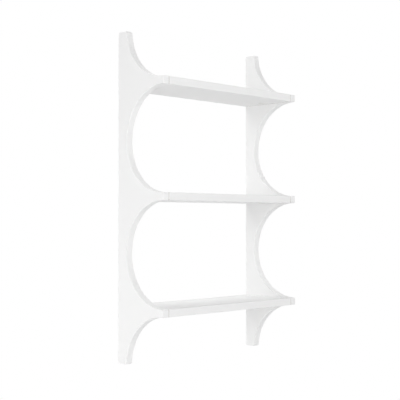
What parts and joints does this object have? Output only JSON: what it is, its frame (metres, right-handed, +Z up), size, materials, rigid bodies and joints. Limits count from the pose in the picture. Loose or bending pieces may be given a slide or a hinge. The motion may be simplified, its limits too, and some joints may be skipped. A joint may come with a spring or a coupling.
{
  "type": "wall shelf",
  "caption": "White lacquered wall shelf: straight boards between side panels with scalloped fronts, held by cam joints and dowels and hung from keyhole plates.",
  "frame": {"origin": "middle of the middle shelf's back edge, in the plane of the wall", "axes": "+X along the wall to the right as seen from the room, +Y into the wall, +Z up"},
  "size_m": [0.466, 0.155, 0.776],
  "materials": {
    "white_lacquer": "satin white lacquer on fibreboard",
    "cam_zinc": "die-cast zinc, as cast",
    "bolt_steel": "zinc-plated steel",
    "cap_plastic": "white moulded plastic",
    "dowel_beech": "bare fluted beech",
    "hanger_steel": "zinc-plated pressed steel",
    "screw_steel": "yellow passivated steel"
  },
  "bodies": {
    "shelf_unit": {"side_panel_left": "white_lacquer", "hanger_plate_left": "hanger_steel", "hanger_screws_left": "screw_steel", "side_panel_right": "white_lacquer", "hanger_plate_right": "hanger_steel", "hanger_screws_right": "screw_steel", "shelf_top": "white_lacquer", "cam_bolt_top_left": "bolt_steel", "dowels_top_left": "dowel_beech", "cam_bolt_top_right": "bolt_steel", "dowels_top_right": "dowel_beech", "shelf_middle": "white_lacquer", "cam_bolt_middle_left": "bolt_steel", "dowels_middle_left": "dowel_beech", "cam_bolt_middle_right": "bolt_steel", "dowels_middle_right": "dowel_beech", "shelf_bottom": "white_lacquer", "cam_bolt_bottom_left": "bolt_steel", "dowels_bottom_left": "dowel_beech", "cam_bolt_bottom_right": "bolt_steel", "dowels_bottom_right": "dowel_beech"},
    "lock_top_left": {"cam_top_left": "cam_zinc", "cam_cap_top_left": "cap_plastic"},
    "lock_top_right": {"cam_top_right": "cam_zinc", "cam_cap_top_right": "cap_plastic"},
    "lock_middle_left": {"cam_middle_left": "cam_zinc", "cam_cap_middle_left": "cap_plastic"},
    "lock_middle_right": {"cam_middle_right": "cam_zinc", "cam_cap_middle_right": "cap_plastic"},
    "lock_bottom_left": {"cam_bottom_left": "cam_zinc", "cam_cap_bottom_left": "cap_plastic"},
    "lock_bottom_right": {"cam_bottom_right": "cam_zinc", "cam_cap_bottom_right": "cap_plastic"}
  },
  "joints": [
    {"name": "turn_top_left", "type": "hinge", "parent": "shelf_unit", "child": "lock_top_left", "pos_m": [-0.191, -0.0775, 0.262], "axis": [0, 0, -1], "range_deg": [0, 180]},
    {"name": "turn_top_right", "type": "hinge", "parent": "shelf_unit", "child": "lock_top_right", "pos_m": [0.191, -0.0775, 0.262], "axis": [0, 0, -1], "range_deg": [0, 180]},
    {"name": "turn_middle_left", "type": "hinge", "parent": "shelf_unit", "child": "lock_middle_left", "pos_m": [-0.191, -0.0775, 0], "axis": [0, 0, -1], "range_deg": [0, 180]},
    {"name": "turn_middle_right", "type": "hinge", "parent": "shelf_unit", "child": "lock_middle_right", "pos_m": [0.191, -0.0775, 0], "axis": [0, 0, -1], "range_deg": [0, 180]},
    {"name": "turn_bottom_left", "type": "hinge", "parent": "shelf_unit", "child": "lock_bottom_left", "pos_m": [-0.191, -0.0775, -0.262], "axis": [0, 0, -1], "range_deg": [0, 180]},
    {"name": "turn_bottom_right", "type": "hinge", "parent": "shelf_unit", "child": "lock_bottom_right", "pos_m": [0.191, -0.0775, -0.262], "axis": [0, 0, -1], "range_deg": [0, 180]}
  ]
}
